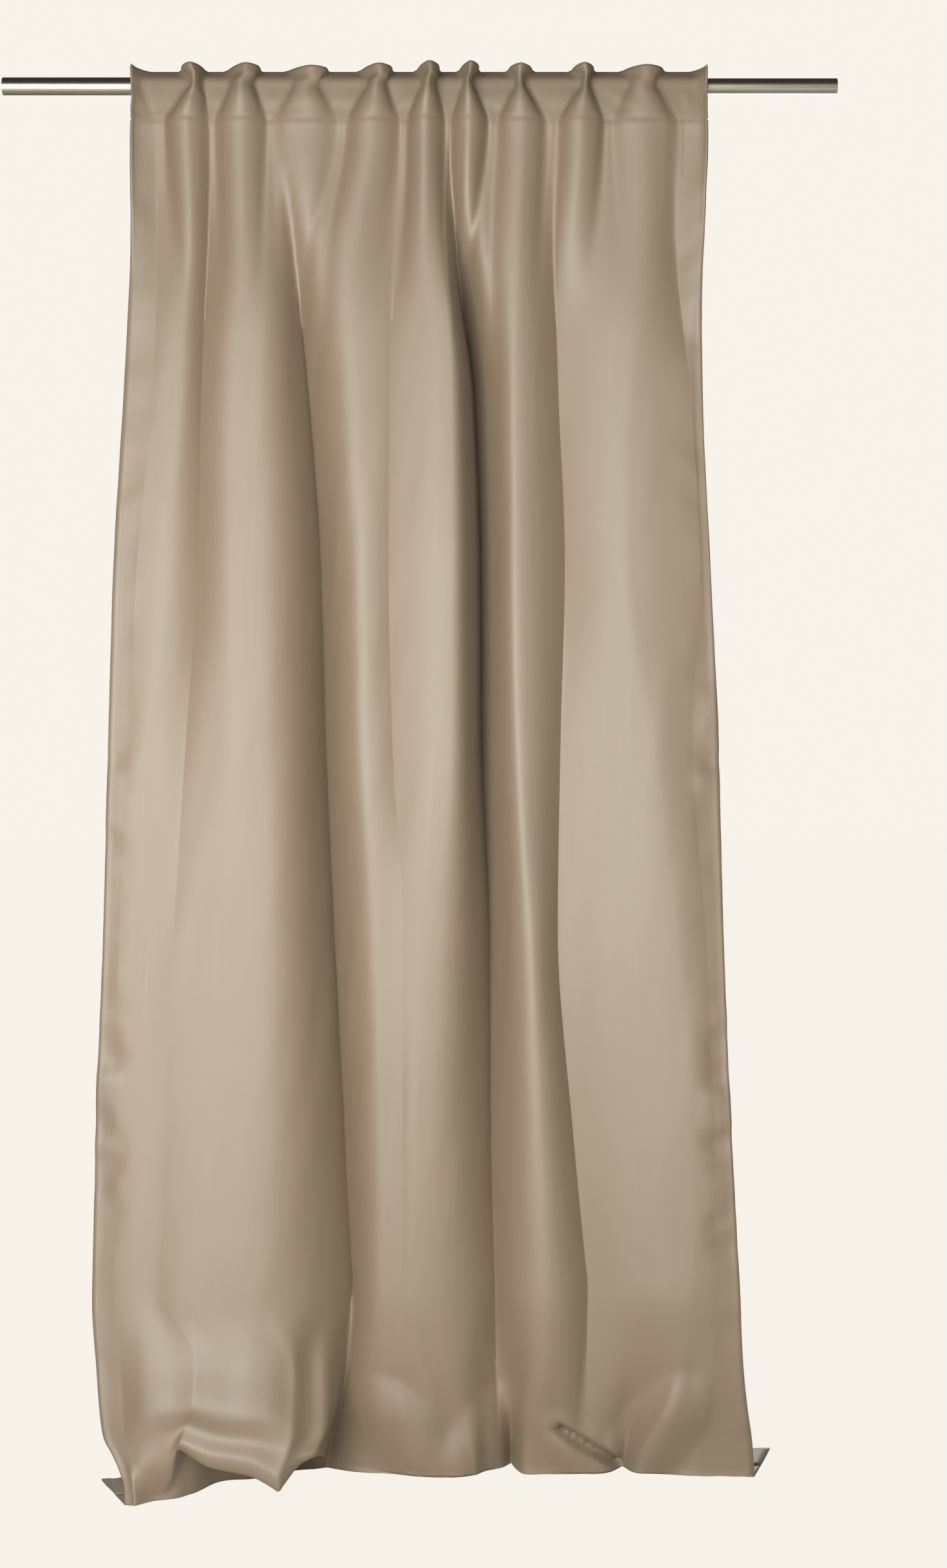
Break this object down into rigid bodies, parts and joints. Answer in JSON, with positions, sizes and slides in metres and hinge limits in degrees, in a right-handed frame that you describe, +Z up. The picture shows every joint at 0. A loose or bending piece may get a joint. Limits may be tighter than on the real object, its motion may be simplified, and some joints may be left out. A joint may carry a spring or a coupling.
{
  "type": "window curtain on a telescopic rod",
  "caption": "Floor-length satin curtain panel with a plain heading, hung by hidden back tabs on a telescopic steel rod; slides along the rod and gathers to one side.",
  "frame": {"origin": "on the rod's axis, halfway along the rod, where its brackets hold it up", "axes": "+X along the rod towards the thinner tube, +Y away from the room, +Z up"},
  "size_m": [1.353, 0.3707, 2.287],
  "materials": {
    "outer_tube_steel": "satin steel, polished along its length",
    "inner_tube_steel": "satin steel, polished along its length",
    "panel_satin": "matt satin weave, soft sheen",
    "heading_satin": "matt satin weave, soft sheen",
    "side_hem_left_satin": "matt satin weave, soft sheen",
    "side_hem_right_satin": "matt satin weave, soft sheen",
    "bottom_hem_satin": "matt satin weave, soft sheen",
    "back_tab_01_satin": "matt satin weave, soft sheen",
    "back_tab_02_satin": "matt satin weave, soft sheen",
    "back_tab_03_satin": "matt satin weave, soft sheen",
    "back_tab_04_satin": "matt satin weave, soft sheen",
    "back_tab_05_satin": "matt satin weave, soft sheen",
    "back_tab_06_satin": "matt satin weave, soft sheen",
    "back_tab_07_satin": "matt satin weave, soft sheen",
    "back_tab_08_satin": "matt satin weave, soft sheen",
    "back_tab_09_satin": "matt satin weave, soft sheen",
    "back_tab_10_satin": "matt satin weave, soft sheen"
  },
  "bodies": {
    "rod": {"rod_outer_tube": "outer_tube_steel"},
    "rod_inner": {"rod_inner_tube": "inner_tube_steel"},
    "curtain": {"heading": "heading_satin", "curtain_panel": "panel_satin", "side_hem_left": "side_hem_left_satin", "side_hem_right": "side_hem_right_satin", "bottom_hem": "bottom_hem_satin", "back_tab_01": "back_tab_01_satin"},
    "tab_02": {"back_tab_02": "back_tab_02_satin"},
    "tab_03": {"back_tab_03": "back_tab_03_satin"},
    "tab_04": {"back_tab_04": "back_tab_04_satin"},
    "tab_05": {"back_tab_05": "back_tab_05_satin"},
    "tab_06": {"back_tab_06": "back_tab_06_satin"},
    "tab_07": {"back_tab_07": "back_tab_07_satin"},
    "tab_08": {"back_tab_08": "back_tab_08_satin"},
    "tab_09": {"back_tab_09": "back_tab_09_satin"},
    "tab_10": {"back_tab_10": "back_tab_10_satin"}
  },
  "joints": [
    {"name": "rod_extend", "type": "slide", "parent": "rod", "child": "rod_inner", "axis": [1, 0, 0], "range_m": [-0.05, 0.2]},
    {"name": "curtain_slide", "type": "slide", "parent": "rod", "child": "curtain", "axis": [1, 0, 0], "range_m": [-0.15, 0.15]},
    {"name": "curtain_draw", "type": "slide", "parent": "curtain", "child": "tab_10", "axis": [-1, 0, 0], "range_m": [0, 0.38093], "deforming": ["heading", "curtain_panel", "side_hem_left", "side_hem_right", "bottom_hem"]},
    {"name": "tab_02_draw", "type": "slide", "parent": "curtain", "child": "tab_02", "axis": [-1, 0, 0], "range_m": [0, 0.03907]},
    {"name": "tab_03_draw", "type": "slide", "parent": "curtain", "child": "tab_03", "axis": [-1, 0, 0], "range_m": [0, 0.08141]},
    {"name": "tab_04_draw", "type": "slide", "parent": "curtain", "child": "tab_04", "axis": [-1, 0, 0], "range_m": [0, 0.13312]},
    {"name": "tab_05_draw", "type": "slide", "parent": "curtain", "child": "tab_05", "axis": [-1, 0, 0], "range_m": [0, 0.1778]},
    {"name": "tab_06_draw", "type": "slide", "parent": "curtain", "child": "tab_06", "axis": [-1, 0, 0], "range_m": [0, 0.21069]},
    {"name": "tab_07_draw", "type": "slide", "parent": "curtain", "child": "tab_07", "axis": [-1, 0, 0], "range_m": [0, 0.24314]},
    {"name": "tab_08_draw", "type": "slide", "parent": "curtain", "child": "tab_08", "axis": [-1, 0, 0], "range_m": [0, 0.28643]},
    {"name": "tab_09_draw", "type": "slide", "parent": "curtain", "child": "tab_09", "axis": [-1, 0, 0], "range_m": [0, 0.32733]}
  ],
  "couplings": [
    {"joint": "tab_02_draw", "follows": "curtain_draw", "ratio": 0.10124},
    {"joint": "tab_03_draw", "follows": "curtain_draw", "ratio": 0.2124},
    {"joint": "tab_04_draw", "follows": "curtain_draw", "ratio": 0.34814},
    {"joint": "tab_05_draw", "follows": "curtain_draw", "ratio": 0.46545},
    {"joint": "tab_06_draw", "follows": "curtain_draw", "ratio": 0.5518},
    {"joint": "tab_07_draw", "follows": "curtain_draw", "ratio": 0.63698},
    {"joint": "tab_08_draw", "follows": "curtain_draw", "ratio": 0.75062},
    {"joint": "tab_09_draw", "follows": "curtain_draw", "ratio": 0.858}
  ]
}
